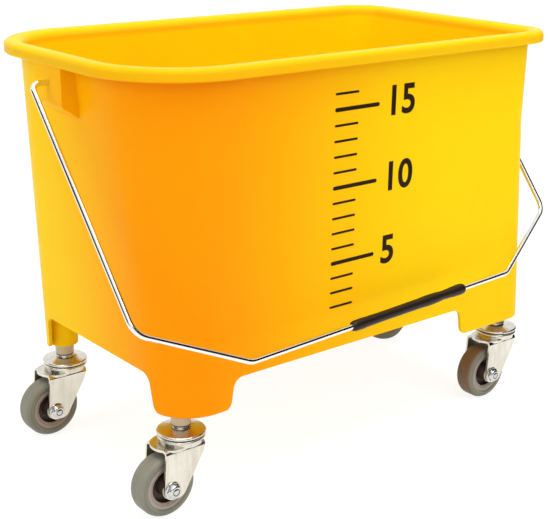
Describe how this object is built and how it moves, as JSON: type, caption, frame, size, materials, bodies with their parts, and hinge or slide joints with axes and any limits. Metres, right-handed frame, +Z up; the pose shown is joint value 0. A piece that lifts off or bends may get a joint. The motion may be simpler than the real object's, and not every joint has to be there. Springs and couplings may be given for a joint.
{
  "type": "rolling mop bucket",
  "caption": "Oblong drafted mop bucket with rolled rim, arched feet, swivel casters, and a wire bail with a turning grip.",
  "frame": {"origin": "on the floor, under the middle of the whole object's box", "axes": "+X along the bucket's length, towards the end with the tight corners; +Y towards the back, away from the hanging bail; +Z up"},
  "size_m": [0.4609, 0.2691, 0.3449],
  "materials": {
    "yellow_plastic": "satin injection-moulded polypropylene",
    "bright_wire": "bright zinc-plated wire",
    "dark_grip": "dark brown moulded grip",
    "clear_nylon": "translucent natural nylon",
    "zinc_steel": "bright zinc-plated pressed steel",
    "zinc_bolt": "zinc-plated turned steel",
    "ball_steel": "polished balls",
    "core_plastic": "moulded wheel centre, pinkish grey",
    "grey_tyre": "non-marking grey rubber tread"
  },
  "bodies": {
    "tub": {"tub": "yellow_plastic", "front_left_socket": "clear_nylon", "front_left_kingpin": "zinc_steel", "front_left_race_cap": "zinc_steel", "front_left_balls": "ball_steel", "front_right_socket": "clear_nylon", "front_right_kingpin": "zinc_steel", "front_right_race_cap": "zinc_steel", "front_right_balls": "ball_steel", "rear_left_socket": "clear_nylon", "rear_left_kingpin": "zinc_steel", "rear_left_race_cap": "zinc_steel", "rear_left_balls": "ball_steel", "rear_right_socket": "clear_nylon", "rear_right_kingpin": "zinc_steel", "rear_right_race_cap": "zinc_steel", "rear_right_balls": "ball_steel"},
    "bail": {"bail_wire": "bright_wire"},
    "grip": {"grip": "dark_grip"},
    "front_left_fork": {"front_left_fork": "zinc_steel", "front_left_axle_bolt": "zinc_bolt", "front_left_axle_nut": "zinc_bolt", "front_left_axle_bush": "zinc_bolt"},
    "front_left_wheel": {"front_left_wheel_core": "core_plastic", "front_left_tyre": "grey_tyre"},
    "front_right_fork": {"front_right_fork": "zinc_steel", "front_right_axle_bolt": "zinc_bolt", "front_right_axle_nut": "zinc_bolt", "front_right_axle_bush": "zinc_bolt"},
    "front_right_wheel": {"front_right_wheel_core": "core_plastic", "front_right_tyre": "grey_tyre"},
    "rear_left_fork": {"rear_left_fork": "zinc_steel", "rear_left_axle_bolt": "zinc_bolt", "rear_left_axle_nut": "zinc_bolt", "rear_left_axle_bush": "zinc_bolt"},
    "rear_left_wheel": {"rear_left_wheel_core": "core_plastic", "rear_left_tyre": "grey_tyre"},
    "rear_right_fork": {"rear_right_fork": "zinc_steel", "rear_right_axle_bolt": "zinc_bolt", "rear_right_axle_nut": "zinc_bolt", "rear_right_axle_bush": "zinc_bolt"},
    "rear_right_wheel": {"rear_right_wheel_core": "core_plastic", "rear_right_tyre": "grey_tyre"}
  },
  "joints": [
    {"name": "bail_swing", "type": "hinge", "parent": "tub", "child": "bail", "pos_m": [-0.00349, 0.01255, 0.323], "axis": [-1, 0, 0], "range_deg": [0, 284]},
    {"name": "grip_turn", "type": "hinge", "parent": "bail", "child": "grip", "pos_m": [0.02763, -0.12865, 0.13563], "axis": [0.9993, 0.0221, 0.0293], "continuous": true},
    {"name": "front_left_swivel", "type": "hinge", "parent": "tub", "child": "front_left_fork", "pos_m": [-0.16549, -0.08035, 0.06], "axis": [0, 0, 1], "continuous": true},
    {"name": "front_left_spin", "type": "hinge", "parent": "front_left_fork", "child": "front_left_wheel", "pos_m": [-0.18349, -0.08035, 0.025], "axis": [0, 1, 0], "continuous": true},
    {"name": "front_right_swivel", "type": "hinge", "parent": "tub", "child": "front_right_fork", "pos_m": [0.19351, -0.08035, 0.06], "axis": [0, 0, 1], "continuous": true},
    {"name": "front_right_spin", "type": "hinge", "parent": "front_right_fork", "child": "front_right_wheel", "pos_m": [0.17551, -0.08035, 0.025], "axis": [0, 1, 0], "continuous": true},
    {"name": "rear_left_swivel", "type": "hinge", "parent": "tub", "child": "rear_left_fork", "pos_m": [-0.16549, 0.09745, 0.06], "axis": [0, 0, 1], "continuous": true},
    {"name": "rear_left_spin", "type": "hinge", "parent": "rear_left_fork", "child": "rear_left_wheel", "pos_m": [-0.18349, 0.09745, 0.025], "axis": [0, 1, 0], "continuous": true},
    {"name": "rear_right_swivel", "type": "hinge", "parent": "tub", "child": "rear_right_fork", "pos_m": [0.19351, 0.09745, 0.06], "axis": [0, 0, 1], "continuous": true},
    {"name": "rear_right_spin", "type": "hinge", "parent": "rear_right_fork", "child": "rear_right_wheel", "pos_m": [0.20278, 0.08202, 0.025], "axis": [-0.8572, -0.515, 0], "continuous": true}
  ]
}
